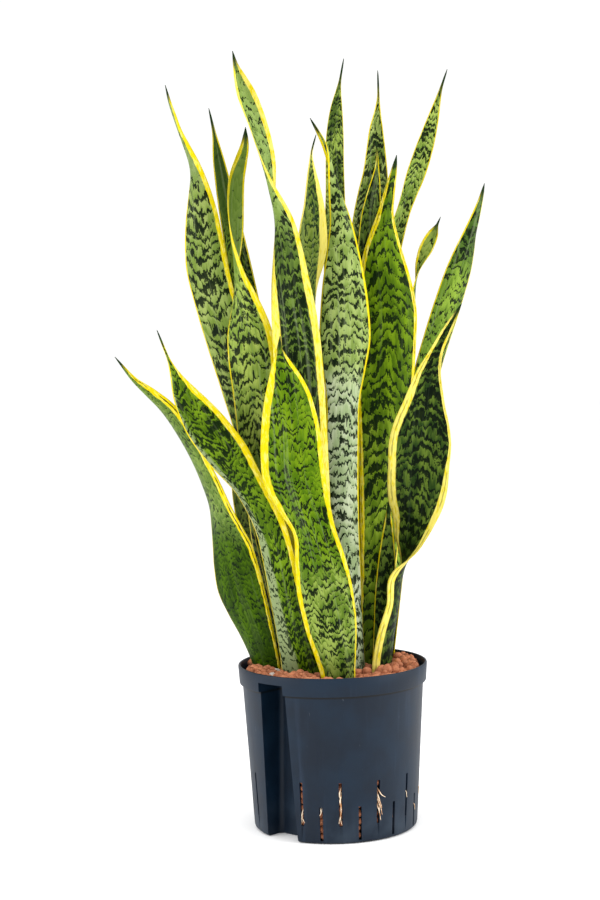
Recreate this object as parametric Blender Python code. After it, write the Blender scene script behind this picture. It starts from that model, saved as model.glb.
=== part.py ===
"""Potted snake plant: yellow-edged sword leaves in a round hydroculture pot of clay granules.

Frame: metres, +Z up, origin at the centre of the pot's underside, the front towards -Y.
Lengths below are in millimetres and angles in degrees; MM and RAD turn them into Blender's units.
"""
import math

import bmesh
import bpy
import numpy as np
from mathutils import Vector

MM = 0.001
RAD = math.pi / 180.0

# ---- pot ---------------------------------------------------------------------------------
POT_HEIGHT = 190.0
RIM_RADIUS = 110.0          # outside of the rim, at the top edge
RIM_BAND = 21.0             # height of the thicker band round the top
RIM_DRAFT = 1.5             # how much narrower the band is at its lower edge
SHOULDER_RADIUS = 105.0     # outside of the body just under the band
FOOT_RADIUS = 95.0          # outside of the body just above the foot corner
FOOT_CORNER = 4.0
WALL = 2.6
POT_SEGMENTS = 64

# The gauge channel is the upright groove that takes a water-level gauge.
CHANNEL_AZIMUTH = -42.0     # measured from the front (-Y) towards +X
CHANNEL_BACK = 70.0         # distance of its back wall from the pot's axis
CHANNEL_TOP = 180.0         # the rim band bridges over it above this height
CHANNEL_WIDTH_TOP = 36.0
CHANNEL_WIDTH_FOOT = 46.0
CHANNEL_CORNER = 6.0

# Drainage and root slots, alternately high and low, all round but for the channel.
SLOT_COUNT = 25
SLOT_STEP = 13.15
SLOT_FIRST_AZIMUTH = -23.9
SLOT_WIDTH = 3.6
SLOT_HIGH = (20.0, 70.0)
SLOT_LOW = (3.5, 42.0)
SLOT_CUTTER = (84.0, 118.0)  # radii between which a slot's cutting block reaches
CUTTER_DROP = 5.0           # how far the channel's cutting block passes below the foot
CUTTER_REACH = 140.0        # and how far out from the pot's axis it goes

# ---- filling, rhizomes and roots ----------------------------------------------------------
GRANULE_TOP = 178.0
GAP = 0.35                  # clearance between pieces that touch in the real thing
SOCKET_GAP = 0.8            # clearance of the granules round a blade's foot
RHIZOME_RADIUS = 10.0
RHIZOME_SIDES = 10
RHIZOME_STEPS = 12
ROOT_RADIUS = 1.3
ROOT_INSIDE = (12.0, 9.0)   # where a root nears the wall: inside the outer face, above its slot height
ROOT_WALL = (5.0, 1.0)      # the same where it enters the wall
ROOT_DROOP = 5.0            # how far its free end hangs under its slot height
ROOT_DIP = 14.0             # how far it sags on its way out from the rhizome
ROOT_SIDES = 6
ROOT_STEPS = 14
RHIZOME_HEIGHT = 139.2      # height of the rhizomes' centre lines
SOCKET_SINK = 1.5           # how far a blade's socket goes on below its foot
SOCKET_RISE = 15.0          # how far it is cut on above the granules

# ---- leaves -------------------------------------------------------------------------------
LEAF_FOOT = 150.0           # height where every blade starts, buried in the granules
BLADE_THICKNESS_FOOT = 4.2
BLADE_THICKNESS_TIP = 1.0
SECTION_STEPS = (-0.62, 0.0, 0.62)   # where the section's inner points stand across the blade

# Each blade: the depth of its cup (positive bulges towards the side that the turn faces),
# then its stations from the foot up: x, y, z of the middle, width, turn. The turn is the plan
# angle of the line from the left margin to the right one: 0 faces the front (-Y), and a
# turn past 90 shows the blade's other face.
LEAVES = {
    "leaf_low_left": (6, [
        (-76, -4, LEAF_FOOT, 36, -35), (-78, -6, 182, 38, -35), (-89, -9, 226, 47, -30),
        (-106, -13, 279, 63, -28), (-115, -19, 329, 62, -40), (-128, -27, 375, 57, -60),
        (-148, -30, 426, 50, -64), (-184, -37, 490, 34, -50), (-219, -46, 525, 9, -40),
        (-238, -48, 551, 1.4, -40)]),
    "leaf_front_left": (6, [
        (-34, -39, LEAF_FOOT, 44, -8), (-35, -41, 182, 47, -8), (-44, -50, 229, 48, -28),
        (-55, -58, 283, 42, -28), (-70, -62, 356, 42, -30), (-92, -65, 402, 43, -28),
        (-113, -66, 436, 50, -15), (-138, -66, 472, 46, -5), (-161, -64, 509, 27, -5),
        (-176, -62, 545, 4, 0), (-189, -60, 580, 1.4, 0)]),
    "leaf_front_centre": (9, [
        (8, -66, LEAF_FOOT, 36, 5), (6, -68, 182, 38, 5), (-1, -76, 242, 58, 6),
        (-8, -84, 285, 62, 2), (-21, -93, 351, 55, -28), (-40, -99, 414, 70, -6),
        (-42, -99, 461, 66, 0), (-45, -96, 509, 48, 0), (-50, -92, 541, 21, 0),
        (-52, -90, 558, 5, 0), (-51, -88, 570, 1.4, 0)]),
    "leaf_centre_tall_pale": (7, [
        (26, -32, LEAF_FOOT, 30, 25), (24, -33, 185, 33, 25), (20, -34, 314, 34, 22),
        (18, -35, 420, 38, 20), (20, -36, 496, 42, 22), (23, -38, 564, 60, 14),
        (23, -40, 626, 50, 10), (21, -36, 699, 25, 15), (12, -34, 753, 14, 70),
        (4, -33, 785, 8, 128), (-12, -32, 814, 1.4, 150)]),
    "leaf_right_centre": (7, [
        (50, 12, LEAF_FOOT, 36, 18), (51, 12, 182, 38, 20), (57, 14, 273, 46, 30),
        (65, 14, 400, 58, 18), (70, 15, 516, 68, 10), (74, 12, 597, 67, 5),
        (70, 11, 659, 48, 5), (74, 10, 708, 19, 10), (83, 9, 753, 8, 5),
        (87, 9, 774, 1.4, 0)]),
    "leaf_right_inner_small": (3, [
        (56, 1, LEAF_FOOT, 24, 15), (59, 3, 195, 24, 18), (63, 3, 261, 24, 12),
        (66, 0, 308, 20, 5), (68, -4, 350, 9.5, 0), (69, -5, 377, 1.4, 0)]),
    "leaf_right_twisted": (6, [
        (60, -22, LEAF_FOOT, 36, 50), (60, -22, 191, 40, 54), (66, -21, 228, 40, 60),
        (74, -19, 261, 40, 69), (77, -18, 286, 42, 66), (85, -18, 307, 44, 90),
        (90, -20, 324, 50, 117), (98, -24, 358, 60, 142), (101, -28, 389, 68, 168),
        (105, -34, 448, 70, 178), (110, -36, 489, 48, 180), (117, -36, 527, 26, 180),
        (125, -36, 548, 15, 180), (140, -34, 576, 9, 180), (155, -33, 602, 1.4, 180)]),
    "leaf_right_tall": (5, [
        (60, 40, LEAF_FOOT, 28, 45), (64, 42, 200, 28, 50), (82, 49, 300, 30, 55),
        (102, 50, 400, 42, 50), (123, 45, 526, 46, 43), (142, 37, 587, 46, 40),
        (160, 28, 642, 40, 38), (173, 22, 684, 20, 36), (184, 18, 722, 6, 20),
        (188, 16, 740, 1.4, 0)]),
    "leaf_right_back_small": (3, [
        (45, 50, LEAF_FOOT, 22, 0), (52, 50, 250, 22, 0), (78, 42, 420, 24, 0),
        (94, 32, 540, 16, 10), (102, 28, 573, 12, 40), (106, 26, 622, 9, 70),
        (112, 25, 648, 14, 125), (120, 24, 666, 18, 150), (129, 22, 685, 12, 160),
        (133, 21, 694, 3, 160), (137, 20, 703, 1.4, 160)]),
    "leaf_back_right_tall": (-5, [
        (36, 62, LEAF_FOOT, 34, 0), (40, 61, 199, 36, 0), (57, 58, 432, 36, 0),
        (69, 56, 574, 28, 10), (80, 50, 664, 22, 15), (95, 43, 716, 21, 34),
        (109, 34, 753, 23, 15), (121, 30, 786, 20, 5), (133, 26, 824, 11, 0),
        (141, 24, 852, 3, 0), (148, 22, 872, 1.4, 0)]),
    "leaf_back_centre_wide": (-6, [
        (26, 46, LEAF_FOOT, 34, 0), (32, 45, 202, 36, 0), (46, 44, 433, 46, 0),
        (52, 42, 609, 45, 0), (57, 35, 704, 42, 0), (63, 30, 758, 28, 0),
        (65, 28, 808, 15, 0), (68, 26, 841, 3, 0), (68, 26, 873, 1.4, 0)]),
    "leaf_inner_back_slim": (-3, [
        (30, 24, LEAF_FOOT, 26, 0), (38, 26, 220, 28, 0), (50, 27, 493, 32, 0),
        (55, 26, 655, 30, 0), (57, 23, 709, 22, 0), (63, 22, 748, 10, 0),
        (65, 20, 768, 3, 0), (64, 18, 793, 1.4, 0)]),
    "leaf_back_centre_slim": (-3, [
        (6, 34, LEAF_FOOT, 30, 0), (12, 33, 350, 30, 0), (15, 32, 493, 32, 0),
        (15, 31, 668, 27, 0), (16, 30, 737, 22, 0), (17, 28, 800, 20, 0),
        (20, 26, 836, 12, 0), (24, 24, 861, 3, 0), (29, 22, 887, 1.4, 0)]),
    "leaf_centre_back_left": (4, [
        (-8, 14, LEAF_FOOT, 30, 25), (-12, 10, 330, 34, 40), (-13, 6, 470, 34, 60),
        (-13, 4, 576, 34, 80), (-15, 4, 633, 35, 50), (-12, 4, 673, 35, 10),
        (-9, 4, 718, 24, 8), (-11, 4, 759, 9, 0), (-11, 3, 777, 2.5, 0),
        (-5, 2, 799, 1.4, 0)]),
    "leaf_left_centre_tall": (7, [
        (-12, -27, LEAF_FOOT, 34, 0), (-14, -29, 184, 36, 0), (-22, -50, 316, 47, 0),
        (-29, -63, 453, 56, 0), (-34, -66, 567, 54, -10), (-41, -61, 631, 50, -32),
        (-48, -55, 697, 42, -60), (-57, -50, 732, 36, -87), (-63, -48, 764, 34, -115),
        (-74, -46, 808, 29, -138), (-85, -42, 842, 23, -155), (-95, -40, 877, 5, -160),
        (-97, -38, 890, 1.4, -160)]),
    "leaf_left_twisted": (6, [
        (-32, -11, LEAF_FOOT, 36, -10), (-37, -13, 184, 37, -10), (-65, -24, 337, 43, -10),
        (-79, -31, 452, 49, -14), (-85, -34, 555, 56, -12), (-91, -34, 596, 54, -42),
        (-98, -32, 637, 46, -74), (-100, -31, 662, 40, -92), (-101, -30, 690, 35, -112),
        (-98, -26, 752, 22, -140), (-87, -22, 788, 10, -150), (-85, -20, 807, 1.4, -150)]),
    "leaf_left_tall": (6, [
        (-48, 12, LEAF_FOOT, 36, -22), (-52, 10, 186, 37, -22), (-72, 4, 334, 43, -20),
        (-85, 2, 451, 46, -20), (-116, 6, 569, 51, -20), (-136, 7, 656, 50, -15),
        (-140, 7, 710, 40, -20), (-148, 6, 768, 24, -62), (-162, 4, 808, 14, -88),
        (-173, 3, 843, 5, -60), (-176, 3, 859, 1.4, -60)]),
    "leaf_back_left": (-4, [
        (-28, 36, LEAF_FOOT, 32, 0), (-34, 38, 220, 34, 0), (-57, 34, 436, 38, 0),
        (-86, 30, 577, 34, 0), (-98, 28, 657, 27, 0), (-110, 26, 725, 21, 0),
        (-119, 24, 780, 12, 0), (-123, 23, 808, 4, 0), (-128, 22, 834, 1.4, 0)]),
    "leaf_rear_left": (-6, [
        (-56, 46, LEAF_FOOT, 34, 50), (-70, 54, 250, 44, 46), (-90, 64, 330, 48, 44),
        (-104, 72, 390, 34, 42), (-110, 77, 422, 12, 42), (-113, 80, 442, 1.4, 42)]),
    "leaf_rear_centre": (-6, [
        (-18, 66, LEAF_FOOT, 36, 8), (-20, 76, 260, 44, 8), (-26, 98, 420, 52, 8),
        (-29, 120, 530, 36, 8), (-31, 132, 580, 12, 8), (-32, 139, 610, 1.4, 8)]),
    "leaf_rear_right": (-6, [
        (20, 84, LEAF_FOOT, 32, -6), (26, 94, 260, 42, -8), (38, 114, 400, 46, -10),
        (52, 138, 510, 28, -10), (59, 149, 550, 10, -10), (64, 156, 575, 1.4, -10)]),
    "leaf_rear_low_right": (-5, [
        (60, 70, LEAF_FOOT, 30, -40), (70, 82, 240, 38, -40), (84, 99, 340, 40, -40),
        (99, 115, 420, 24, -40), (107, 123, 455, 8, -40), (111, 128, 474, 1.4, -40)]),
}

# Rhizomes: the thick underground stems that the blades rise from, as plan routes at one height.
RHIZOMES = {
    "rhizome_left": [(-84, -6), (-64, 2), (-50, 20), (-54, 48)],
    "rhizome_front": [(-46, -38), (-22, -24), (2, -38), (20, -58)],
    "rhizome_centre": [(-32, -4), (-8, 14), (4, 36), (-14, 52), (-20, 72)],
    "rhizome_back": [(36, 20), (27, 48), (21, 88)],
    "rhizome_right": [(60, -28), (56, 0), (58, 28), (48, 50), (50, 76)],
}

# Roots: from below a rhizome down and out through one slot; the number is the slot's place in
# the row. Each has its start, the height where it leaves, and how far its tip stands out.
ROOTS = {
    "root_slot_0": (0, (-6, -35, 122), 50, 3),
    "root_slot_1": (1, (-16, -30, 122), 28, 2),
    "root_slot_2": (2, (6, -44, 122), 52, 5),
    "root_slot_4": (4, (58, -20, 122), 44, 7),
    "root_slot_7": (7, (57, 6, 122), 26, 2),
}


def clear_scene():
    for item in list(bpy.data.objects):
        bpy.data.objects.remove(item, do_unlink=True)


def material(name, colour, roughness):
    made = bpy.data.materials.new(name)
    made.use_nodes = True
    shader = made.node_tree.nodes["Principled BSDF"]
    shader.inputs["Base Color"].default_value = (*colour, 1.0)
    shader.inputs["Roughness"].default_value = roughness
    shader.inputs["Metallic"].default_value = 0.0
    return made


def add_object(name, bm, finish=None):
    """Turn a bmesh in millimetres into a named object in metres."""
    bmesh.ops.recalc_face_normals(bm, faces=bm.faces)
    bmesh.ops.scale(bm, vec=(MM, MM, MM), verts=bm.verts)
    mesh = bpy.data.meshes.new(name)
    bm.to_mesh(mesh)
    bm.free()
    mesh.shade_smooth()
    mesh.set_sharp_from_angle(angle=40 * RAD)
    if finish:
        mesh.materials.append(finish)
    made = bpy.data.objects.new(name, mesh)
    bpy.context.scene.collection.objects.link(made)
    return made


def add_cutter(name, bm):
    cutter = add_object(name, bm)
    cutter.hide_render = True
    cutter.display_type = 'WIRE'
    return cutter


def cut(target, cutter):
    step = target.modifiers.new("cut_" + cutter.name, 'BOOLEAN')
    step.operation = 'DIFFERENCE'
    step.object = cutter
    return step


def outward(azimuth):
    """Unit plan direction at an azimuth measured from the front towards +X."""
    return Vector((math.sin(azimuth * RAD), -math.cos(azimuth * RAD), 0.0))


# ---- smooth interpolation through stations --------------------------------------------------
def chord_lengths(points):
    steps = np.linalg.norm(np.diff(points, axis=0), axis=1)
    return np.concatenate([[0.0], np.cumsum(steps)])


def slopes_smooth(t, values):
    """Slopes of a smooth curve through unevenly spaced points."""
    return np.gradient(values, t, axis=0)


def slopes_monotone(t, values):
    """Slopes that never overshoot, for widths and turns."""
    step = np.diff(values) / np.diff(t)
    slope = np.zeros(len(values))
    slope[0] = step[0]
    slope[-1] = step[-1]
    for i in range(1, len(values) - 1):
        if step[i - 1] * step[i] > 0:
            slope[i] = 2 * step[i - 1] * step[i] / (step[i - 1] + step[i])
    return slope


def hermite(t, values, slope, at):
    """Value and derivative of the cubic through the stations, at one parameter."""
    i = int(np.clip(np.searchsorted(t, at, side="right") - 1, 0, len(t) - 2))
    h = t[i + 1] - t[i]
    u = (at - t[i]) / h
    a, b, da, db = values[i], values[i + 1], slope[i] * h, slope[i + 1] * h
    value = (a * (1 + 2 * u) + da * u) * (1 - u) ** 2 + (b * (3 - 2 * u) + db * (u - 1)) * u ** 2
    rate = (6 * u * (u - 1) * (a - b) + da * (1 - u) * (1 - 3 * u) + db * u * (3 * u - 2)) / h
    return value, rate


def skin_rings(bm, rings):
    """One closed tube through a list of rings, by extruding the first ring's face along them."""
    foot = bm.faces.new([bm.verts.new(point) for point in rings[0]])
    face = foot
    for previous, ring in zip(rings, rings[1:]):
        grown = bmesh.ops.extrude_face_region(bm, geom=[face])["geom"]
        if face.is_valid and face is not foot:
            bmesh.ops.delete(bm, geom=[face], context='FACES_ONLY')
        face = next(item for item in grown if isinstance(item, bmesh.types.BMFace))
        place = {tuple(round(c, 4) for c in old): new for old, new in zip(previous, ring)}
        for vert in face.verts:
            vert.co = place[tuple(round(c, 4) for c in vert.co)]


# ---- leaves ---------------------------------------------------------------------------------
def blade_rings(cup, stations, grow=0.0, top=None):
    """Section rings of one blade: sharp margins, a lens-like section bent into a shallow cup."""
    table = np.array(stations, dtype=float)
    spine, width, turn = table[:, :3], table[:, 3], table[:, 4]
    t = chord_lengths(spine)
    spine_slope = slopes_smooth(t, spine)
    width_slope = slopes_monotone(t, width)
    turn_slope = slopes_monotone(t, turn)
    places = sorted(list(t) + list((t[1:] + t[:-1]) / 2))
    rings = []
    for at in places:
        centre, tangent = hermite(t, spine, spine_slope, at)
        half = hermite(t, width, width_slope, at)[0] / 2
        angle = hermite(t, turn, turn_slope, at)[0] * RAD
        if not rings:
            tangent = (0.0, 0.0, 1.0)
        along = Vector(tangent).normalized()
        across = Vector((math.cos(angle), math.sin(angle), 0.0))
        across = (across - along * across.dot(along)).normalized()
        facing = across.cross(along)
        share = at / t[-1]
        slim = min(1.0, half / 10.0)
        depth = cup * slim
        thick = BLADE_THICKNESS_FOOT + (BLADE_THICKNESS_TIP - BLADE_THICKNESS_FOOT) * share ** 0.7
        thick = max(thick * slim, 0.9) / 2 + grow
        middle = Vector(centre)

        def point(s, side):
            lift = depth * (1 / 3 - s * s) + side * thick * math.sqrt(max(0.0, 1 - s * s))
            return middle + across * (s * half) + facing * lift

        edge = 1 + 3 * grow / half
        front = [point(s, 1) for s in SECTION_STEPS]
        back = [point(s, -1) for s in reversed(SECTION_STEPS)]
        rings.append([point(-edge, 0), *front, point(edge, 0), *back])
        if top and centre[2] > top:
            break
    return rings


def make_leaf(name, finish):
    cup, stations = LEAVES[name]
    bm = bmesh.new()
    skin_rings(bm, blade_rings(cup, stations))
    bmesh.ops.triangulate(bm, faces=bm.faces)      # a twisted blade has no flat four-sided face
    return add_object(name, bm, finish)


# ---- tubes: rhizomes and roots -------------------------------------------------------------
def tube_rings(route, radius, sides, steps, grow=0.0):
    """Rings round a smooth route; a growth makes the same tube fatter and longer at both ends."""
    points = np.array(route, dtype=float)
    t = chord_lengths(points)
    slope = slopes_smooth(t, points)
    rings = []
    for k in range(steps + 1):
        centre, tangent = hermite(t, points, slope, t[-1] * k / steps)
        along = Vector(tangent).normalized()
        side = along.cross(Vector((0.0, 0.0, 1.0)))
        side = side.normalized() if side.length > 0.05 else Vector((1.0, 0.0, 0.0))
        up = side.cross(along)
        end = {0: -1, steps: 1}.get(k, 0)
        middle = Vector(centre) + along * (end * grow)
        turns = [2 * math.pi * j / sides for j in range(sides)]
        spokes = [side * math.cos(a) + up * math.sin(a) for a in turns]
        rings.append([middle + spoke * (radius + 1.15 * grow) for spoke in spokes])
    return rings


def rhizome_rings(name, grow=0.0):
    route = [(x, y, RHIZOME_HEIGHT) for x, y in RHIZOMES[name]]
    return tube_rings(route, RHIZOME_RADIUS, RHIZOME_SIDES, RHIZOME_STEPS, grow)


def root_rings(name, grow=0.0):
    """A root that dips from its rhizome, then runs straight out through the middle of its slot."""
    slot, start, height, standing_out = ROOTS[name]
    azimuth = SLOT_FIRST_AZIMUTH + SLOT_STEP * slot
    skin = body_radius(height)
    way = outward(azimuth)
    inside = way * (skin - ROOT_INSIDE[0]) + Vector((0, 0, height + ROOT_INSIDE[1]))
    outside = way * (skin + standing_out) + Vector((0, 0, height - ROOT_DROOP))
    first = Vector(start)
    bend = (first + inside) / 2 + Vector((0, 0, -ROOT_DIP))
    through = way * (skin - ROOT_WALL[0]) + Vector((0, 0, height + ROOT_WALL[1]))
    route = [first, bend, inside, through, outside]
    return tube_rings(route, ROOT_RADIUS, ROOT_SIDES, ROOT_STEPS, grow)


# ---- pot ------------------------------------------------------------------------------------
def body_radius(z):
    """Outside radius of the pot's body at a height."""
    share = (z - FOOT_CORNER) / (POT_HEIGHT - RIM_BAND - FOOT_CORNER)
    return FOOT_RADIUS + (SHOULDER_RADIUS - FOOT_RADIUS) * share


def turned(profile, segments=POT_SEGMENTS):
    """A closed solid of revolution: circles stacked from the foot up, capped at both ends."""
    turns = [2 * math.pi * (j + 0.5) / segments for j in range(segments)]
    bm = bmesh.new()
    skin_rings(bm, [[Vector((r * math.cos(a), r * math.sin(a), z)) for a in turns]
                    for r, z in profile])
    return bm


def pot_outside():
    band = POT_HEIGHT - RIM_BAND
    corner = [(FOOT_RADIUS - FOOT_CORNER * (1 - math.sin(a)), FOOT_CORNER * (1 - math.cos(a)))
              for a in (0, 30 * RAD, 60 * RAD, 90 * RAD)]
    return [*corner, (SHOULDER_RADIUS, band - 1), (RIM_RADIUS - RIM_DRAFT, band),
            (RIM_RADIUS - 0.2, POT_HEIGHT - 0.8), (RIM_RADIUS - 0.8, POT_HEIGHT)]


def pot_inside(clearance, top):
    """Profile of the room inside the pot, drawn in by a clearance and closed at a height."""
    inset = WALL + clearance
    step = POT_HEIGHT - RIM_BAND + 1.5
    floor = inset
    lower = (body_radius(FOOT_CORNER) - inset - 1.0, floor)
    upper = (SHOULDER_RADIUS - inset, step + clearance)
    rise = (top - step - 2 - clearance) / RIM_BAND
    band_low = (RIM_RADIUS - RIM_DRAFT - inset, step + 2 + clearance)
    band_top = (RIM_RADIUS - RIM_DRAFT - inset + RIM_DRAFT * rise, top)
    return [lower, upper, band_low, band_top]


def channel_solid(grow):
    """The gauge channel's room, or with a growth the pocket that it makes inside the pot."""
    foot = -CUTTER_DROP
    top = CHANNEL_TOP + grow
    reach = CUTTER_REACH
    bm = bmesh.new()
    bmesh.ops.create_cube(bm, size=1.0)
    way = outward(CHANNEL_AZIMUTH)
    side = Vector((-way.y, way.x, 0.0))
    for vert in bm.verts:
        width = (CHANNEL_WIDTH_TOP if vert.co.z > 0 else CHANNEL_WIDTH_FOOT) + 2 * grow
        radial = (CHANNEL_BACK - grow) if vert.co.x < 0 else reach
        height = top if vert.co.z > 0 else foot
        lateral = width / 2 * (1 if vert.co.y > 0 else -1)
        vert.co = way * radial + side * lateral + Vector((0, 0, height))
    back = [edge for edge in bm.edges
            if all(abs(v.co.dot(way) - CHANNEL_BACK + grow) < 0.01 for v in edge.verts)
            and abs(edge.verts[0].co.z - edge.verts[1].co.z) > 50]
    bm.normal_update()
    bmesh.ops.bevel(bm, geom=back, offset=CHANNEL_CORNER, segments=3, profile=0.5,
                    affect='EDGES')
    return bm


def slot_solids():
    bm = bmesh.new()
    for k in range(SLOT_COUNT):
        low, high = SLOT_HIGH if k % 2 == 0 else SLOT_LOW
        way = outward(SLOT_FIRST_AZIMUTH + SLOT_STEP * k)
        side = Vector((-way.y, way.x, 0.0))
        box = bmesh.ops.create_cube(bm, size=1.0)["verts"]
        for vert in box:
            radial = SLOT_CUTTER[0] if vert.co.x < 0 else SLOT_CUTTER[1]
            lateral = SLOT_WIDTH / 2 * (1 if vert.co.y > 0 else -1)
            height = high if vert.co.z > 0 else low
            vert.co = way * radial + side * lateral + Vector((0, 0, height))
    return bm


def make_pot(finish):
    room = add_cutter("pot_room", turned(pot_inside(0.0, POT_HEIGHT + 5)))
    cut(room, add_cutter("channel_pocket", channel_solid(WALL)))
    pot = add_object("pot", turned(pot_outside()), finish)
    cut(pot, add_cutter("channel_room", channel_solid(0.0)))
    cut(pot, room)
    cut(pot, add_cutter("slots", slot_solids()))
    return pot


# ---- granules -------------------------------------------------------------------------------
def make_granules(finish):
    """The clay granules as one packed body, with sockets for what is bedded in them."""
    fill = add_object("clay_granules", turned(pot_inside(GAP, GRANULE_TOP)), finish)
    cut(fill, add_cutter("channel_bedding", channel_solid(WALL + GAP)))

    sockets = bmesh.new()
    for cup, stations in LEAVES.values():
        rings = blade_rings(cup, stations, grow=SOCKET_GAP, top=GRANULE_TOP + SOCKET_RISE)
        sunk = [point - Vector((0, 0, SOCKET_SINK)) for point in rings[0]]
        skin_rings(sockets, [sunk, *rings[1:]])
    cut(fill, add_cutter("leaf_sockets", sockets))

    beds = bmesh.new()
    for name in RHIZOMES:
        skin_rings(beds, rhizome_rings(name, GAP))
    cut(fill, add_cutter("rhizome_beds", beds))

    tunnels = bmesh.new()
    for name in ROOTS:
        skin_rings(tunnels, root_rings(name, GAP))
    cut(fill, add_cutter("root_tunnels", tunnels))
    return fill


def main():
    clear_scene()
    slate = material("pot_slate_plastic", (0.045, 0.06, 0.08), 0.55)
    clay = material("granule_terracotta", (0.42, 0.17, 0.10), 0.9)
    green = material("leaf_banded_green", (0.10, 0.25, 0.03), 0.42)
    stem = material("rhizome_ochre", (0.55, 0.38, 0.16), 0.7)
    pale = material("root_cream", (0.72, 0.58, 0.38), 0.75)

    make_pot(slate)
    make_granules(clay)
    for name in LEAVES:
        make_leaf(name, green)
    for name in RHIZOMES:
        bm = bmesh.new()
        skin_rings(bm, rhizome_rings(name))
        add_object(name, bm, stem)
    for name in ROOTS:
        bm = bmesh.new()
        skin_rings(bm, root_rings(name))
        add_object(name, bm, pale)


main()
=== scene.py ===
# %% [markdown]
# # A potted snake plant, dressed for the studio
# The measured model is a plain body for each leaf, the pot, the clay granules
# and the roots. This lesson gives each of them its real surface. It starts by
# loading that model as a fixed frame, in metres, with +Z up and the front at -Y.

# %% Load the frame
import math
import random

import bmesh
import bpy
import numpy as np
from mathutils import Euler, Matrix, Vector


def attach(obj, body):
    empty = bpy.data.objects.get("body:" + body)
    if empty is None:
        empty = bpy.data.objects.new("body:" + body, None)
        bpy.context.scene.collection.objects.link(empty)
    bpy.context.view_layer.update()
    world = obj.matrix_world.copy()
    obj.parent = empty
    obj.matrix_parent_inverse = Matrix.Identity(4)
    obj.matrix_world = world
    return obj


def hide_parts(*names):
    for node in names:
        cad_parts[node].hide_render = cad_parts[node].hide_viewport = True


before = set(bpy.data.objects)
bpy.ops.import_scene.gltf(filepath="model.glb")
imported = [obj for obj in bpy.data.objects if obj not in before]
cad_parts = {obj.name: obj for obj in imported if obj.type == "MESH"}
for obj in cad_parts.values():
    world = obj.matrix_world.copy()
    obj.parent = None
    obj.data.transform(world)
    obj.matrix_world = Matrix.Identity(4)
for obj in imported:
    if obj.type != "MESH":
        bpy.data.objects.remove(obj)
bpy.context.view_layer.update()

MM = 0.001

# %% [markdown]
# ## Camera
# A long lens a little over two metres away keeps the leaves parallel, as a
# catalogue view does. It looks down by under four degrees, so the pot's mouth
# shows as a thin ellipse.

# %% Set the camera
eye = bpy.data.objects.new("eye", bpy.data.cameras.new("eye"))
bpy.context.scene.collection.objects.link(eye)
eye.data.sensor_width = 36.0
eye.data.lens = 76.3
eye.matrix_world = (Matrix.Translation((-0.032, -2.2, 0.580))
                    @ Matrix.Rotation(math.radians(90 - 3.70), 4, 'X')
                    @ Matrix.Rotation(math.radians(-1.35), 4, 'Z'))
bpy.context.scene.camera = eye
bpy.context.scene.view_settings.view_transform = 'Standard'
print("camera", [round(v, 3) for v in eye.location])

# %% [markdown]
# ## Sockets that do sums
# A leaf's pattern is arithmetic on distances. Wiring each sum by hand hides the
# idea, so one small class wraps a socket and lets Python's own signs add the
# Math nodes. Its `node` method makes any other node, settings first.

# %% A socket wrapper
class Wire:
    """One socket of a material, ready for sums."""

    def __init__(self, tree, socket=None):
        self.tree, self.socket = tree, socket

    def node(self, kind, settings=None, inputs=None, output=0):
        made = self.tree.nodes.new(kind)
        for key, value in (settings or {}).items():
            setattr(made, key, value)
        for key, value in (inputs or {}).items():
            if isinstance(value, Wire):
                self.tree.links.new(value.socket, made.inputs[key])
            else:
                made.inputs[key].default_value = value
        return Wire(self.tree, made.outputs[output])

    def beside(self, output):
        """Another output of the node that this socket belongs to."""
        return Wire(self.tree, self.socket.node.outputs[output])

    def work(self, operation, *values):
        return self.node("ShaderNodeMath", {"operation": operation}, dict(enumerate(values)))

    def __add__(self, other):
        return self.work("ADD", self, other)

    def __radd__(self, other):
        return self.work("ADD", other, self)

    def __sub__(self, other):
        return self.work("SUBTRACT", self, other)

    def __rsub__(self, other):
        return self.work("SUBTRACT", other, self)

    def __mul__(self, other):
        return self.work("MULTIPLY", self, other)

    def __rmul__(self, other):
        return self.work("MULTIPLY", other, self)

    def __truediv__(self, other):
        return self.work("DIVIDE", self, other)


# %% [markdown]
# A few short helpers cover nearly every line of the finishes below: a smooth
# step between two values, a mix of two colours, a noise read at a position, a
# bump, and the piece's own coordinates. Colours are written as 0-255 screen
# values and turned into the linear values that a shader wants.

# %% Shader helpers
def tint(red, green, blue):
    def linear(value):
        value /= 255.0
        return value / 12.92 if value <= 0.04045 else ((value + 0.055) / 1.055) ** 2.4
    return (linear(red), linear(green), linear(blue), 1.0)


def step(value, low, high):
    """0 below low, 1 above high, smooth between them."""
    return value.node("ShaderNodeMapRange", {"interpolation_type": "SMOOTHSTEP"},
                      {0: value, 1: low, 2: high})


def blend(share, under, over):
    """The colour over, laid on the colour under by a share from 0 to 1."""
    return share.node("ShaderNodeMix", {"data_type": "RGBA"},
                      {0: share, 6: under, 7: over}, output=2)


def noise(x, y, z, detail=2.0, roughness=0.5):
    start = x if isinstance(x, Wire) else y
    place = start.node("ShaderNodeCombineXYZ", None, {0: x, 1: y, 2: z})
    return start.node("ShaderNodeTexNoise", None,
                      {"Vector": place, "Scale": 1.0, "Detail": detail, "Roughness": roughness})


def new_finish(name, roughness, specular):
    """A material with its shader's constants set, and a wire to start from."""
    finish = bpy.data.materials.new(name)
    finish.use_nodes = True
    shader = finish.node_tree.nodes["Principled BSDF"]
    shader.inputs["Roughness"].default_value = roughness
    shader.inputs["Specular IOR Level"].default_value = specular
    return finish, shader, Wire(finish.node_tree)


def wire_up(shader, **links):
    """Lead wires to the shader's sockets: base_color=..., roughness=..., normal=..."""
    for key, wire in links.items():
        socket = shader.inputs[key.replace("_", " ").title()]
        wire.tree.links.new(wire.socket, socket)


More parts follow.
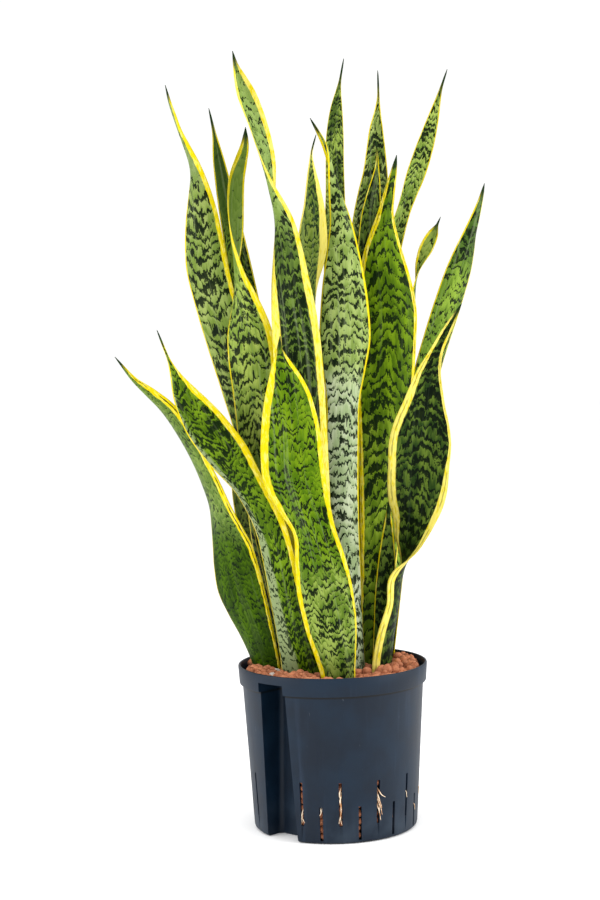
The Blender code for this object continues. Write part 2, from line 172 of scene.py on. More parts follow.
def bumpy(height, strength, depth):
    return height.node("ShaderNodeBump", None,
                       {"Strength": strength, "Distance": depth, "Height": height})


def own_place(start):
    """The x, y and z of the piece itself, in metres."""
    spot = start.node("ShaderNodeTexCoord", output=3)
    x = start.node("ShaderNodeSeparateXYZ", None, {0: spot})
    return x, x.beside(1), x.beside(2)


# %% [markdown]
# ## Leaves
# A sword leaf is one thick, stiff blade, cupped across and slowly twisting. The
# measured leaf is an eight-sided tube with a ring of corners every few
# centimetres. It could be smoothed as it stands, but its corners would round
# off unevenly. Instead its rings are read back as three lines, the two margins
# and the middle, and a fine sheet is laid through them.

# %% Read a leaf's rings
def leaf_lines(node):
    """Left margin, middle and right margin of each ring, and its thickness."""
    bm = bmesh.new()
    bm.from_mesh(node.data)
    bmesh.ops.remove_doubles(bm, verts=bm.verts, dist=1e-6)
    lowest = min(v.co.z for v in bm.verts)
    ring = {v for v in bm.verts if v.co.z < lowest + 1e-5}
    seen, lines, thickness, span = set(), [], [], None
    while ring:
        seen |= ring
        spots = [v.co.copy() for v in ring]
        left, right = max(((a, b) for a in spots for b in spots), key=lambda p: (p[0] - p[1]).length)
        if (right - left).dot(span or Vector((1, 0, 0))) < 0:
            left, right = right, left
        span = right - left
        share = {i: abs((p - left).dot(span) / span.length_squared - 0.5)
                 for i, p in enumerate(spots)}
        front, back = (spots[i] for i in sorted(share, key=share.get)[:2])
        lines.append((left, (front + back) / 2, right))
        thickness.append((front - back).length)
        ring = {e.other_vert(v) for v in ring for e in v.link_edges} - seen
    bm.free()
    return np.array(lines), np.array(thickness)


def smooth_line(values, at, wanted):
    """A curve through values given at some distances, read at other distances."""
    slopes = np.gradient(values, at, axis=0)
    k = np.clip(np.searchsorted(at, wanted) - 1, 0, len(at) - 2)
    gap = at[k + 1] - at[k]
    u = (wanted - at[k]) / gap
    shape = (-1,) + (1,) * (values.ndim - 1)
    u, gap = u.reshape(shape), gap.reshape(shape)
    return ((1 + 2 * u) * (1 - u) ** 2 * values[k] + u * (1 - u) ** 2 * gap * slopes[k]
            + u * u * (3 - 2 * u) * values[k + 1] + u * u * (u - 1) * gap * slopes[k + 1])


# %% [markdown]
# The sheet is a grid: its columns run across the blade and its rows from foot
# to tip. Every grid point is moved onto the blade and remembers, in millimetres
# of real leaf, how far it stands from the middle line, from the foot and from
# the tip. The pattern reads those numbers, so it follows each bend and twist. A
# Solidify modifier then gives the sheet its flesh, thinner at the margins.

# %% Lay a fine sheet through the rings
COLUMNS = 18
ROW_STEP = 5.0 * MM
FLESH = 4.2 * MM
GRANULE_TOP = 181 * MM                # height of the granules round the leaves' feet
feet = []


def make_leaf(name):
    lines, thickness = leaf_lines(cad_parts[name])
    middle = lines[:, 1]
    at = np.concatenate([[0], np.cumsum(np.linalg.norm(np.diff(middle, axis=0), axis=1))])
    rows = int(at[-1] / ROW_STEP)
    along = np.linspace(0, at[-1], rows + 1)
    lines = smooth_line(lines, at, along)
    flesh = np.interp(along, at, thickness)
    bm = bmesh.new()
    bmesh.ops.create_grid(bm, x_segments=COLUMNS, y_segments=rows, size=0.5)
    blade = bm.verts.layers.float_vector.new("blade")
    to_tip = bm.verts.layers.float.new("to_tip")
    weight = bm.verts.layers.deform.verify()
    for vert in bm.verts:
        s = 2 * vert.co.x
        row = round((vert.co.y + 0.5) * rows)
        left, mid, right = (Vector(p) for p in lines[row])
        away = at[-1] - along[row]
        narrow = min(1.0, 0.3 + 0.7 * away / (6 * MM))
        half = (right - left) / 2 * narrow
        cup = (left + right) / 2 - mid
        vert.co = mid + half * s + cup * (s * s * narrow)
        vert[blade] = Vector((s * half.length, along[row], half.length)) / MM
        vert[to_tip] = away / MM
        vert[weight][0] = flesh[row] / FLESH * (1 - 0.72 * abs(s) ** 3)
    mesh = bpy.data.meshes.new(name + "_blade")
    bm.to_mesh(mesh)
    bm.free()
    mesh.shade_smooth()
    leaf = bpy.data.objects.new(name + "_blade", mesh)
    bpy.context.scene.collection.objects.link(leaf)
    leaf.vertex_groups.new(name="flesh")
    solid = leaf.modifiers.new("flesh", 'SOLIDIFY')
    solid.thickness, solid.offset, solid.vertex_group = FLESH, 0.0, "flesh"
    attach(leaf, "root")
    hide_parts(name)
    at_top = int(np.argmin(abs(lines[:, 1, 2] - GRANULE_TOP)))
    feet.append(lines[at_top])
    return leaf


leaf_names = sorted(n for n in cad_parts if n.startswith("leaf_"))
leaves = {name: make_leaf(name) for name in leaf_names}
print(len(leaves), "leaves,", sum(len(o.data.vertices) for o in leaves.values()), "points")

# %% [markdown]
# ## The leaf's skin
# Across each blade run broken, zigzag bands of dark green. They come from long
# fibres whose dark stretches start and stop at slightly different heights, so
# the band is a wave along the leaf whose height is shifted fibre by fibre. The
# margins are bare of green: yellow to cream, ragged where they meet the green.
# Every leaf differs, so one function takes a small table of its habits.

# %% Habits that all leaves share
HABIT = dict(
    ground=tint(132, 150, 66),      # the lighter green
    shade=tint(88, 112, 38),        # what the ground drifts towards
    dark=tint(6, 20, 4),            # the bands
    # Pale lengthwise streaks: partly the leaf's waxy bloom, partly painted sheen.
    wax_sheen=tint(150, 166, 122),        # pale lengthwise streaks
    wax_sheen_share=0.25,                      # how strong those streaks are
    period=13.0,                    # mm from band to band
    chevron=0.3,                    # how far the bands drop towards the margins
    jag=7.0,                        # mm of shift between fibres
    sparse=0.60,                    # higher means fewer dark marks
    patchy=0.5,                     # how unevenly the marks are spread
    left=2.0, right=2.0,            # mm of yellow margin, or (low, high, where it changes)
    gold=tint(214, 194, 4), cream=tint(228, 214, 104),
    creamy=0.45,                    # share of cream in the margins
    thread=0.0,                     # a green line inside the margin
    tip=26.0,                       # mm of dark tip
    crown=None,                     # (length, ground, shade, more marks) of a different upper part
    # The pale strip is painted sheen where the blade folds along its left margin.
    sheen_strip=0.0,                      # mm of pale strip along the left margin, at the foot
    most=0.42,                      # largest share of a half-width that a margin takes
)


# %% The skin: bands and ground
def leaf_bands(habit, seed, across, along, half, away):
    """The green of a leaf without its margins."""
    fibre = noise(across * 0.5, along * 0.05, seed, 2.0, 0.6) - 0.5
    zigzag = noise(across * 0.17, along * 0.05, seed + 3.1, 1.0) - 0.5
    wander = noise(across * 0.04, along * 0.018, seed + 5.3, 1.0) - 0.5
    height = (along + fibre * (1.7 * habit["jag"]) + zigzag * 24 + wander * 40
              + across.work("ABSOLUTE", across) * habit["chevron"])
    wide = across.work("SINE", height * (2 * math.pi / habit["period"]))
    close = across.work("SINE", height * (2 * math.pi / (0.43 * habit["period"])))
    speck = noise(across * 0.6, along * 0.42, seed + 7.7, 4.0, 0.7)
    patch = noise(across * 0.035, along * 0.018, seed + 11.3, 1.0) - 0.5
    breaks = noise(across * 0.11, along * 0.07, seed + 9.9, 2.0) - 0.5
    level = (0.54 + wide * 0.16 + close * 0.06 + (speck - 0.5) * 0.76 + breaks * 0.75
             + patch * habit["patchy"])
    fade = across.work("FRACT", height / habit["period"] - 0.25)
    drift = step(noise(across * 0.09, along * 0.02, seed + 13.9, 3.0) - fade * 0.3, 0.15, 0.5)
    ground = blend(drift, habit["ground"], habit["shade"])
    if habit["crown"]:
        length, crown_ground, crown_shade, more = habit["crown"]
        crown = 1 - step(away + wander * 40, length - 22.0, length + 22.0)
        ground = blend(crown, ground, blend(drift, crown_ground, crown_shade))
        level = level + crown * more
    # Painted sheen: a pale strip along the folded left margin near the foot, with fewer dark marks.
    if habit["sheen_strip"]:
        inward = half + across + along * 0.055 + zigzag * 6
        side = 1 - step(inward, habit["sheen_strip"] - 2.0, habit["sheen_strip"] + 2.0)
        ground = blend(side * 0.8, ground, habit["wax_sheen"])
        level = level - side * 0.08
    marks = step(level, habit["sparse"] - 0.025, habit["sparse"] + 0.025)
    colour = blend(marks * (0.95 + 0.04 * drift), ground, habit["dark"])
    # Pale lengthwise streaks: partly waxy bloom, partly painted sheen in place of the leaf's gloss; the
    # streaks are also rougher.
    wax_sheen_streak = step(noise(across * 0.3, along * 0.006, seed + 17.2, 3.0, 0.6), 0.52, 0.74)
    return blend(wax_sheen_streak * habit["wax_sheen_share"], colour, habit["wax_sheen"]), wax_sheen_streak, fibre


# %% The skin: margins, edge line and tip
def leaf_finish(name, seed, **own):
    habit = {**HABIT, **own}
    finish, shader, start = new_finish(name, 0.48, 0.05)
    place = start.node("ShaderNodeAttribute", {"attribute_name": "blade"}, output=1)
    across = start.node("ShaderNodeSeparateXYZ", None, {0: place})
    along, half = across.beside(1), across.beside(2)
    away = start.node("ShaderNodeAttribute", {"attribute_name": "to_tip"}, output=2)
    colour, wax_sheen_streak, fibre = leaf_bands(habit, seed, across, along, half, away)
    # Darker towards the foot: partly the leaf's own darker base, partly painted shade where the leaves
    # crowd together above the granules.
    low = 1 - step(along, 20.0, 75.0)
    colour = blend(low * 0.45, colour, habit["dark"])

    ragged = ((noise(across * 0.5, along * 0.12, seed + 23.4, 3.0) - 0.5) * 2.6
              + (noise(0.0, along * 0.016, seed + 29.0, 1.0) - 0.5) * 2.0)
    fuller = 0.35 + 0.65 * step(along, 30.0, 260.0)

    def band(edge, wide):
        if isinstance(wide, tuple):
            foot_wide, wide, where = wide
            now = foot_wide + step(along, where - 40.0, where + 40.0) * (wide - foot_wide)
        else:
            now = fuller * wide
        reach = across.work("MINIMUM", now, half * habit["most"])
        share = (edge + ragged * min(1.0, wide / 5)) / reach
        return 1 - step(share, 0.93, 1.07), share

    from_left, from_right = half + across, half - across
    left, share_left = band(from_left, habit["left"])
    right, share_right = band(from_right, habit["right"])
    cream = step(noise(across * 0.4, along * 0.09, seed + 31.1, 4.0, 0.65), 0.65 - 0.4 * habit["creamy"],
                 0.85 - 0.4 * habit["creamy"])
    yellow = blend(cream, habit["gold"], habit["cream"])
    if habit["thread"]:
        line = 1 - step(across.work("ABSOLUTE", across.work("MINIMUM", share_left, share_right) - 0.45),
                        0.05, 0.14)
        broken = step(noise(0.0, along * 0.03, seed + 33.0, 1.0), 0.4, 0.5)
        yellow = blend(line * broken * habit["thread"], yellow, habit["dark"])
    colour = blend(across.work("MAXIMUM", left, right), colour, yellow)
    rim = 1 - step(across.work("MINIMUM", from_left, from_right), 0.1, 0.5)
    colour = blend(rim * 0.2, colour, tint(120, 110, 20))
    awl = 1 - step(away + fibre * 16, 0.3 * habit["tip"], habit["tip"])
    colour = blend(awl, colour, tint(24, 44, 16))

    grain = noise(across * 2.1, along * 0.05, seed + 37.0, 2.0)
    colour = blend((1 - step(grain, 0.3, 0.6)) * 0.15, colour, tint(10, 26, 8))
    ridge = noise(across * 0.3, along * 0.006, seed + 41.0)
    wire_up(shader, base_color=colour, roughness=0.4 + 0.22 * wax_sheen_streak + 0.1 * grain,
            normal=bumpy(grain * 0.35 + ridge, 0.5, 1.2 * MM))
    return finish


# %% [markdown]
# Each leaf's habits are what sets it apart: the young pale one in the middle,
# the saturated ones at the front, the dark one that twists over on the
# right. A blade that turns over shows its other face above the twist, so it may
# have a crown of another green. A leaf without an entry keeps the shared habits.

# %% Each leaf's own habits
VIVID = dict(ground=tint(104, 134, 18), shade=tint(66, 94, 4), dark=tint(10, 28, 2), wax_sheen_share=0.08)
DEEP = dict(ground=tint(96, 120, 44), shade=tint(62, 84, 26), sparse=0.56)
habits = {
    "leaf_low_left": dict(VIVID, ground=tint(62, 92, 0), shade=tint(36, 60, 0), left=1.5, right=7.0,
                          sparse=0.66, period=9, thread=0.9,
                          crown=(240, tint(112, 134, 58), tint(78, 104, 36), -0.04)),
    "leaf_front_left": dict(VIVID, left=1.6, right=6.3, sparse=0.565, period=10, chevron=-0.4,
                            wax_sheen=tint(136, 148, 108), wax_sheen_share=0.2, sheen_strip=24.0),
    "leaf_front_centre": dict(left=(5.0, 9.0, 190), right=4.8, ground=tint(142, 162, 74),
                              shade=tint(84, 110, 30), sparse=0.6, period=10, chevron=-0.2,
                              crown=(270, tint(104, 134, 14), tint(70, 102, 4), -0.02)),
    "leaf_centre_tall_pale": dict(left=1.3, right=2.6, ground=tint(180, 190, 156),
                                  shade=tint(140, 158, 112), sparse=0.62, period=13, patchy=0.3,
                                  wax_sheen_share=0.35, creamy=0.3,
                                  crown=(300, tint(150, 168, 94), tint(112, 134, 60), 0.03)),
    "leaf_right_centre": dict(VIVID, left=5.0, right=3.8, sparse=0.59, period=16,
                              chevron=0.8, thread=0.6, creamy=0.5, ground=tint(128, 154, 40),
                              shade=tint(80, 108, 12),
                              crown=(300, tint(104, 134, 14), tint(64, 92, 2), 0.0)),
    "leaf_right_inner_small": dict(DEEP, left=2.0, right=2.0),
    "leaf_right_twisted": dict(ground=tint(88, 110, 36), shade=tint(34, 56, 16), dark=tint(4, 14, 4),
                               left=(8.5, 2.5, 265), right=(4.5, 9.0, 190), wax_sheen_share=0.12, sparse=0.52,
                               thread=0.5, creamy=0.8,
                               wax_sheen=tint(96, 116, 92)),
    "leaf_right_tall": dict(left=1.2, right=1.6, sparse=0.61, period=12, ground=tint(124, 152, 50),
                            shade=tint(86, 114, 30),
                            crown=(95, tint(70, 98, 34), tint(56, 82, 26), 0.03)),
    "leaf_right_back_small": dict(left=1.5, right=2.5, sparse=0.66),
    "leaf_back_right_tall": dict(left=0.8, right=0.9, sparse=0.58, period=9, tip=45,
                                 ground=tint(156, 176, 82), shade=tint(96, 122, 42)),
    "leaf_back_centre_wide": dict(left=0.9, right=0.8, sparse=0.59, period=10, chevron=0.7,
                                  ground=tint(164, 180, 100), tip=45),
    "leaf_inner_back_slim": dict(DEEP, left=0.9, right=0.9, period=10),
    "leaf_back_centre_slim": dict(DEEP, left=0.4, right=0.5, sparse=0.58, period=8, chevron=0.5,
                                  ground=tint(144, 166, 70), tip=45),
    "leaf_centre_back_left": dict(left=1.6, right=9.5, sparse=0.575, period=9, creamy=0.9, most=0.6,
                                  dark=tint(24, 44, 26)),
    "leaf_left_centre_tall": dict(DEEP, left=(11.0, 4.0, 500), right=(7.5, 4.0, 500), period=12,
                                  sparse=0.51, creamy=0.7,
                                  crown=(205, tint(134, 156, 84), tint(116, 140, 66), -0.2)),
    "leaf_left_twisted": dict(left=1.5, right=7.0, sparse=0.62, wax_sheen_share=0.35, most=0.95,
                              ground=tint(150, 168, 76), shade=tint(104, 128, 46),
                              crown=(170, tint(108, 132, 56), tint(92, 118, 44), -0.2)),
    "leaf_left_tall": dict(left=1.6, right=4.5, ground=tint(140, 156, 84), shade=tint(104, 126, 50),
                           sparse=0.56, period=15, chevron=-0.5, jag=9,
                           crown=(105, tint(136, 150, 104), tint(110, 130, 74), -0.2)),
    "leaf_back_left": dict(DEEP, left=1.0, right=1.3, tip=40, period=8, chevron=0.9, sparse=0.6,
                           ground=tint(104, 130, 40),
                           crown=(130, tint(62, 84, 30), tint(50, 74, 24), -0.2)),
}
for seed, (name, leaf) in enumerate(leaves.items()):
    leaf.data.materials.append(leaf_finish(name + "_skin", 10.0 * seed, **habits.get(name, {})))
print("leaf skins:", len(leaves))

# %% [markdown]
# ## Pot
# The pot is a moulded plastic culture pot: a tapered wall with a stepped rim,
# an upright groove for a water gauge, and narrow slots for water and roots. It
# is turned like a bowl: the outline of its wall is drawn once and spun round.
# The groove and the slots are then cut out with Boolean modifiers.

# %% Turning and cutting helpers
def show(name, bm, sharp=35.0):
    mesh = bpy.data.meshes.new(name)
    bm.to_mesh(mesh)
    bm.free()
    mesh.shade_smooth()
    mesh.set_sharp_from_angle(angle=math.radians(sharp))
    piece = bpy.data.objects.new(name, mesh)
    bpy.context.scene.collection.objects.link(piece)
    return piece


def turned(name, outline, steps):
    """A closed solid spun from an outline of (radius, height) in millimetres."""
    bm = bmesh.new()
    dots = [bm.verts.new((r * MM, 0, z * MM)) for r, z in outline]
    line = [bm.edges.new(pair) for pair in zip(dots, dots[1:])]
    bmesh.ops.spin(bm, geom=dots + line, cent=(0, 0, 0), axis=(0, 0, 1), angle=2 * math.pi,
                   steps=steps, use_merge=True)
    bmesh.ops.remove_doubles(bm, verts=bm.verts, dist=1e-6)
    bmesh.ops.recalc_face_normals(bm, faces=bm.faces)
    return show(name, bm)


def carve(piece, cutter):
    """Take the cutter's shape out of the piece, and put the cutter away."""
    cut = piece.modifiers.new("cut", 'BOOLEAN')
    cut.operation, cut.object = 'DIFFERENCE', cutter
    seen = piece.evaluated_get(bpy.context.evaluated_depsgraph_get())
    result = bpy.data.meshes.new_from_object(seen)
    piece.modifiers.clear()
    piece.data = result
    bpy.data.objects.remove(cutter)
    return piece


# %% The groove and the slots as cutting blocks
GROOVE_WAY = -42.0                    # degrees from the front towards +X
GROOVE_BACK, GROOVE_TOP = 70, 180     # mm: the flat back's radius, and how high it is open
WALL = 2.6
SLOTS, FIRST_SLOT, SLOT_STEP = 25, -23.9, 13.15
CUT_IN, CUT_OUT = 84, 118             # mm: the radii that a slot's cutter reaches between


def slot_way(k):
    return FIRST_SLOT + SLOT_STEP * k


def way_out(degrees):
    return Vector((math.sin(math.radians(degrees)), -math.cos(math.radians(degrees)), 0))


def block(bm, degrees, inner, outer, low, high, width_low, width_high):
    """An upright block that reaches from one radius to another, all in millimetres."""
    way = way_out(degrees)
    side = Vector((-way.y, way.x, 0))
    for v in bmesh.ops.create_cube(bm, size=1.0)["verts"]:
        top, far, right = v.co.z > 0, v.co.x > 0, 1 if v.co.y > 0 else -1
        v.co = MM * (way * (outer if far else inner) + side * right * (width_high if top else width_low) / 2
                     + Vector((0, 0, high if top else low)))


def groove(grow):
    bm = bmesh.new()
    block(bm, GROOVE_WAY, GROOVE_BACK - grow, 140, -5, GROOVE_TOP + grow,
          46 + 2 * grow, 36 + 2 * grow)
    way = way_out(GROOVE_WAY)
    back = [e for e in bm.edges if all(v.co.dot(way) < 0.08 for v in e.verts)
            and abs(e.verts[0].co.z - e.verts[1].co.z) > 0.05]
    bm.normal_update()
    bmesh.ops.bevel(bm, geom=back, offset=6 * MM, segments=5, profile=0.5, affect='EDGES', material=-1)
    return show("groove", bm)


def slots():
    bm = bmesh.new()
    for k in range(SLOTS):
        if k % 2 == 0:
            block(bm, slot_way(k), CUT_IN, CUT_OUT, 20, 70, 3.4, 3.6)
            block(bm, slot_way(k), 94.9, CUT_OUT, 3.5, 19.5, 2.8, 2.8)
        else:
            block(bm, slot_way(k), CUT_IN, CUT_OUT, 3.5, 42, 3.6, 3.4)
    return show("slots", bm)


# %% Turn the pot and cut it
outside = [(0, 0), (90.8, 0), (93.0, 0.5), (94.5, 2.0), (95.0, 4.0), (105.0, 167.6), (105.3, 168.6),
           (108.1, 168.9), (108.5, 169.5), (109.8, 188.6), (109.5, 189.6), (108.9, 190.0), (0, 190)]
room = [(0, 2.6), (91.4, 2.6), (102.4, 170.5), (105.9, 172.5), (107.0, 188.6), (107.5, 190.2),
        (107.6, 195), (0, 195)]
pot = turned("pot_shell", outside, 144)
carve(pot, groove(0.0))
carve(pot, carve(turned("room", room, 144), groove(WALL)))
carve(pot, slots())
edge = pot.modifiers.new("soft_edges", 'BEVEL')
edge.width, edge.segments, edge.limit_method = 0.6 * MM, 2, 'ANGLE'
edge.angle_limit = math.radians(50)
pot.data.shade_smooth()
pot.data.set_sharp_from_angle(angle=math.radians(30))
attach(pot, "root")
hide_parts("pot")
print("pot:", len(pot.data.polygons), "faces")

# %% [markdown]
# ## Pot plastic
# A slate grey plastic with a blue cast: a satin surface with a fine grain, faint
# upright flow marks, dust that settles near the foot, and a few pale scuffs.

# %% Slate plastic
finish, shader, start = new_finish("slate_plastic", 0.5, 0.24)
x, y, z = own_place(start)
cloud = noise(x * 22, y * 22, z * 22, 4.0)
flow = noise(x * 90, y * 90, z * 6, 3.0)
pores = noise(x * 1500, y * 1500, z * 1500, 2.0)
scuff = step(noise(x * 160, y * 160, z * 28, 5.0, 0.7), 0.66, 0.74)
dust = (1 - step(z, 0.0, 0.05)) * step(cloud, 0.4, 0.7)
colour = blend(step(cloud, 0.3, 0.7), tint(2, 18, 34), tint(6, 28, 46))
colour = blend(step(flow, 0.55, 0.8) * 0.35, colour, tint(36, 52, 72))
colour = blend(scuff * 0.22, colour, tint(120, 126, 132))
colour = blend(dust * 0.2, colour, tint(84, 94, 104))
# Painted shadow: a thin dark line on the wall just under the rim band, where the band's overhang casts
# shade.
shade_under_band = step(z, 0.1655, 0.1672) * (1 - step(z, 0.1684, 0.1690))
colour = blend(shade_under_band * 0.9, colour, tint(4, 6, 8))
wire_up(shader, base_color=colour, roughness=0.46 + 0.12 * cloud + 0.1 * scuff,
        normal=bumpy(pores + flow * 0.4, 0.35, 0.15 * MM))
pot.data.materials.clear()
pot.data.materials.append(finish)

# %% [markdown]
# ## Clay granules
# The plant stands in baked clay granules, each a lumpy ball about a centimetre
# across. Most are out of sight, so a core fills the pot, painted dark as the
# shade in the gaps between granules, and single granules are laid only where
# they can be seen: over the top and behind the slots. They keep clear of the
# leaves' feet.

# %% The core
core = turned("clay_core", [(0, 4), (85, 4), (95.5, 160), (98.5, 174), (0, 174.5)], 48)
carve(core, groove(WALL + 0.6))

# %% One lumpy granule
dice = random.Random(7)
clay = bmesh.new()
tone_of = clay.verts.layers.float.new("tone")


def granule(spot, radius):
    turn = Euler([dice.uniform(0, 6.28) for _ in range(3)]).to_matrix().to_4x4()
    squash = Matrix.Diagonal((1, dice.uniform(0.78, 1), dice.uniform(0.72, 0.95), 1))
    made = bmesh.ops.create_uvsphere(clay, u_segments=8, v_segments=6, radius=radius,
                                     matrix=Matrix.Translation(spot) @ turn @ squash)["verts"]
    tone = dice.random()
    lumps = [Vector([dice.gauss(0, 1) for _ in range(3)]).normalized() for _ in range(4)]
    for v in made:
        arm = v.co - spot
        bulge = 1 + 0.12 * sum(max(0, arm.normalized().dot(lump)) ** 3 for lump in lumps) - 0.08
        v.co = spot + arm * bulge
        v[tone_of] = tone


# %% Lay the granules
foot_spots = [Vector(line[0] * (1 - s) + line[2] * s) for line in feet for s in np.linspace(0, 1, 9)]
laid = 0


def clear_of_leaves(spot, radius):
    return all((Vector((f.x, f.y)) - Vector((spot.x, spot.y))).length > radius + 1.6 * MM
               for f in foot_spots)


def lay(x, y, z, radius):
    """Lay a granule where it clears the leaves, and say whether it was laid."""
    spot = Vector((x, y, z)) * MM
    clear = clear_of_leaves(spot, radius * MM)
    if clear:
        granule(spot, radius * MM)
    return clear


groove_dir = way_out(GROOVE_WAY)
for layer, (pitch, rise, chance) in enumerate([(9.2, 0.0, 1.0), (11.0, 5.0, 0.8)]):
    for row in range(-12, 13):
        for col in range(-12, 13):
            x = (col + 0.5 * (row % 2)) * pitch + dice.uniform(-1.8, 1.8)
            y = row * pitch * 0.87 + dice.uniform(-1.8, 1.8)
            radius = dice.uniform(4.6, 7.2)
            if math.hypot(x, y) > 105.5 - radius or dice.random() > chance:
                continue
            heap = 5.5 * max(0.0, min(1.0, (x + 10) / 60)) + 3.0 * max(0.0, min(1.0, -x / 90))
            ride_up = 6.0 if Vector((x, y, 0)).dot(groove_dir) > 62 else 0.0
            if layer and (ride_up or y < -55):
                continue
            z = 176.5 + rise + heap + ride_up + dice.uniform(-1.2, 1.2)
            laid += any(lay(x, y, z, attempt) for attempt in (radius, 4.2, 3.2))
for k in range(SLOTS):
    low, high = (18, 72) if k % 2 == 0 else (4, 44)
    way = way_out(slot_way(k))
    z = low + 4
    while z < high:
        radius = dice.uniform(3.8, 5.4)
        inner = 91.4 + (z / 167) * 11 - radius + 1.0
        spot = (way * inner + Vector((-way.y, way.x, 0)) * dice.uniform(-1.5, 1.5)) * MM
        granule(spot + Vector((0, 0, z * MM)), radius * MM)
        z += radius * dice.uniform(1.6, 2.1)
pebbles = show("clay_pebbles", clay, 180.0)
for piece in (core, pebbles):
    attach(piece, "root")
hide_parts("clay_granules")
print("granules on top:", laid, "faces in all:", len(pebbles.data.polygons))

# %% [markdown]
# Baked clay is matt and a little different on every ball: mostly terracotta,
# some darker, a few greyish or chalky with lime. Fine pores break the surface.

# %% Baked clay
finish, shader, start = new_finish("baked_clay", 0.85, 0.2)
tone = start.node("ShaderNodeAttribute", {"attribute_name": "tone"}, output=2)
x, y, z = own_place(start)
cloud = noise(x * 260, y * 260, z * 260, 4.0, 0.6)
pores = noise(x * 1100, y * 1100, z * 1100, 3.0, 0.7)
colour = blend(step(tone, 0.1, 0.8), tint(132, 74, 48), tint(180, 112, 78))
colour = blend(step(cloud, 0.35, 0.7) * 0.6, colour, tint(192, 132, 100))
colour = blend(step(tone, 0.93, 0.94) * 0.7, colour, tint(66, 38, 28))
colour = blend(step(tone, 0.975, 0.98) * 0.8, colour, tint(190, 184, 176))
colour = blend(step(pores, 0.58, 0.68) * 0.45, colour, tint(70, 34, 24))
wire_up(shader, base_color=colour, roughness=0.8 + 0.15 * cloud,
        normal=bumpy(cloud + pores * 0.5, 0.6, 0.5 * MM))
pebbles.data.materials.append(finish)

# %% Clay core painted dark as the shade between granules
finish, shader, start = new_finish("clay_core_shade", 0.9, 0.1)
x, y, z = own_place(start)
cloud = noise(x * 180, y * 180, z * 180, 5.0, 0.7)
# Painted shade: the dark browns stand for the shade in the gaps between the granules.
colour = blend(step(cloud, 0.4, 0.62), tint(26, 16, 12), tint(98, 58, 40))
wire_up(shader, base_color=colour, normal=bumpy(cloud, 0.9, 2 * MM))
core.data.materials.clear()
core.data.materials.append(finish)

# %% [markdown]
# ## Roots and rhizomes
# Pale roots as thick as string push through some of the slots, bend down and
# shrivel at their ends. Each one is a strand with a round section, so a curve
# with a bevel makes it. The rhizomes lie buried and keep their measured shape.

# %% Strands in the slots
cords = bpy.data.curves.new("root_strands", 'CURVE')
cords.dimensions = '3D'
cords.bevel_depth = 0.62 * MM
cords.bevel_resolution = 1
cords.use_fill_caps = True


def strand(k, high, low, lean, proud, thick):
    """A root in slot k from one height to another, leaning sideways and standing proud."""
    way = way_out(slot_way(k))
    side = Vector((-way.y, way.x, 0))
    spline = cords.splines.new('POLY')
    spline.points.add(13)
    phase = dice.uniform(0, 6.28)
    for i, point in enumerate(spline.points):
        t = i / 13
        z = high + (low - high) * t
        wall = 95 + 10 * (z - 4) / 165
        out = wall - 4.5 + (4.5 + proud) * min(1.0, 2.2 * t) ** 0.8
        sway = lean * t * t + 0.7 * math.sin(phase + 5 * t)
        spot = (way * out + side * sway + Vector((0, 0, z))) * MM
        point.co = (*spot, 1.0)
        point.radius = thick * (1 - 0.55 * t)


for k, high, low, lean, proud, thick in [
        (0, 40, 24, 3.0, 1.2, 1.0), (0, 34, 22, -1.5, 0.4, 0.8), (1, 42, 33, -1.2, 0.8, 1.1),
        (2, 64, 54, -1.5, 0.6, 1.5), (2, 60, 44, 1.0, 0.6, 1.2), (2, 56, 40, -0.6, 0.8, 1.2),
        (2, 50, 32, 0.4, 0.8, 1.1), (2, 44, 24, -1.6, 0.9, 1.0), (2, 38, 22, 0.8, 0.5, 0.9),
        (4, 60, 50, 7.5, 2.2, 1.4), (4, 58, 38, 3.0, 1.6, 1.3), (4, 50, 30, 4.5, 1.8, 1.2),
        (4, 46, 24, 1.8, 1.2, 1.2), (4, 56, 34, 0.2, 0.9, 1.2), (6, 52, 42, 1.0, 0.4, 0.9),
        (7, 34, 22, 1.2, 0.6, 1.0), (8, 50, 36, -1.0, 0.5, 1.0)]:
    strand(k, high, low, lean, proud, thick)
drawn = bpy.data.objects.new("drawn_strands", cords)
bpy.context.scene.collection.objects.link(drawn)
seen = drawn.evaluated_get(bpy.context.evaluated_depsgraph_get())
roots = bpy.data.objects.new("root_strands", bpy.data.meshes.new_from_object(seen))
bpy.data.objects.remove(drawn)
bpy.context.scene.collection.objects.link(roots)
roots.data.shade_smooth()
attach(roots, "root")
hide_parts(*[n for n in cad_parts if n.startswith("root_slot_")])
print("root strands:", len(cords.splines))

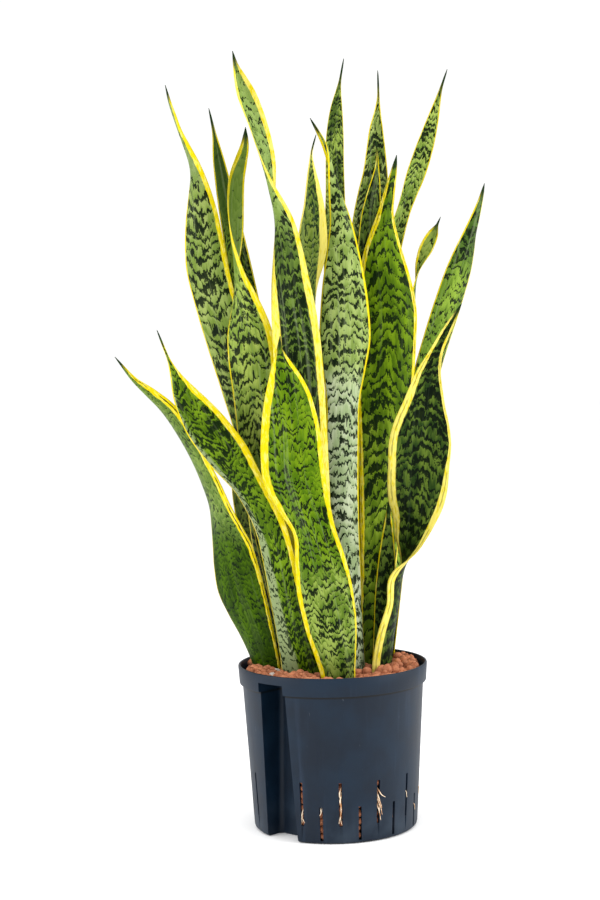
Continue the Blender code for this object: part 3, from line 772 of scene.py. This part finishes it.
# %% Root skin and rhizome skin
def dry_skin(name, pale, brown, scale):
    finish, shader, start = new_finish(name, 0.7, 0.25)
    x, y, z = own_place(start)
    cloud = noise(x * scale, y * scale, z * scale, 4.0, 0.6)
    fine = noise(x * scale * 6, y * scale * 6, z * scale * 2, 2.0)
    colour = blend(step(cloud, 0.42, 0.62), pale, brown)
    wire_up(shader, base_color=colour, roughness=0.6 + 0.3 * fine, normal=bumpy(fine, 0.6, 0.4 * MM))
    return finish


roots.data.materials.append(dry_skin("root_skin", tint(236, 214, 186), tint(176, 126, 84), 140.0))
rhizome_skin = dry_skin("rhizome_skin", tint(196, 150, 96), tint(110, 70, 40), 60.0)
for name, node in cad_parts.items():
    if name.startswith("rhizome_"):
        node.data.materials.clear()
        node.data.materials.append(rhizome_skin)

# %% [markdown]
# ## Studio
# The plant stands on a plain white floor under plain white light. Two large
# soft boxes, one on each side and a little in front, and a smaller one overhead
# add a soft direction to the even light of the world.

# %% Floor and light
bm = bmesh.new()
bmesh.ops.create_grid(bm, x_segments=1, y_segments=1, size=12.0)
bmesh.ops.translate(bm, verts=bm.verts, vec=(0, 0, -0.5 * MM))
floor = show("floor", bm)
finish, shader, start = new_finish("pale_floor", 0.9, 0.1)
x, y, z = own_place(start)
grain = noise(x * 40, y * 40, z * 40, 3.0)
wire_up(shader, base_color=blend(grain, tint(252, 252, 252), tint(255, 255, 255)))
floor.data.materials.append(finish)

world = bpy.data.worlds.new("studio")
world.use_nodes = True
world.node_tree.nodes["Background"].inputs[0].default_value = (1, 1, 1, 1)
world.node_tree.nodes["Background"].inputs[1].default_value = 1.04
bpy.context.scene.world = world


def soft_box(name, spot, aim, size, power):
    lamp = bpy.data.lights.new(name, 'AREA')
    lamp.shape, lamp.size, lamp.energy = 'SQUARE', size, power
    box = bpy.data.objects.new(name, lamp)
    bpy.context.scene.collection.objects.link(box)
    box.location = spot
    box.rotation_euler = (Vector(aim) - Vector(spot)).to_track_quat('-Z', 'Y').to_euler()


soft_box("box_left", (-1.7, -0.7, 0.9), (0, 0, 0.45), 1.4, 22)
soft_box("box_right", (1.7, -0.5, 0.9), (0, 0, 0.45), 1.4, 26)
soft_box("box_top", (0, -0.4, 2.2), (0, 0, 0.4), 1.2, 14)
print("studio ready")
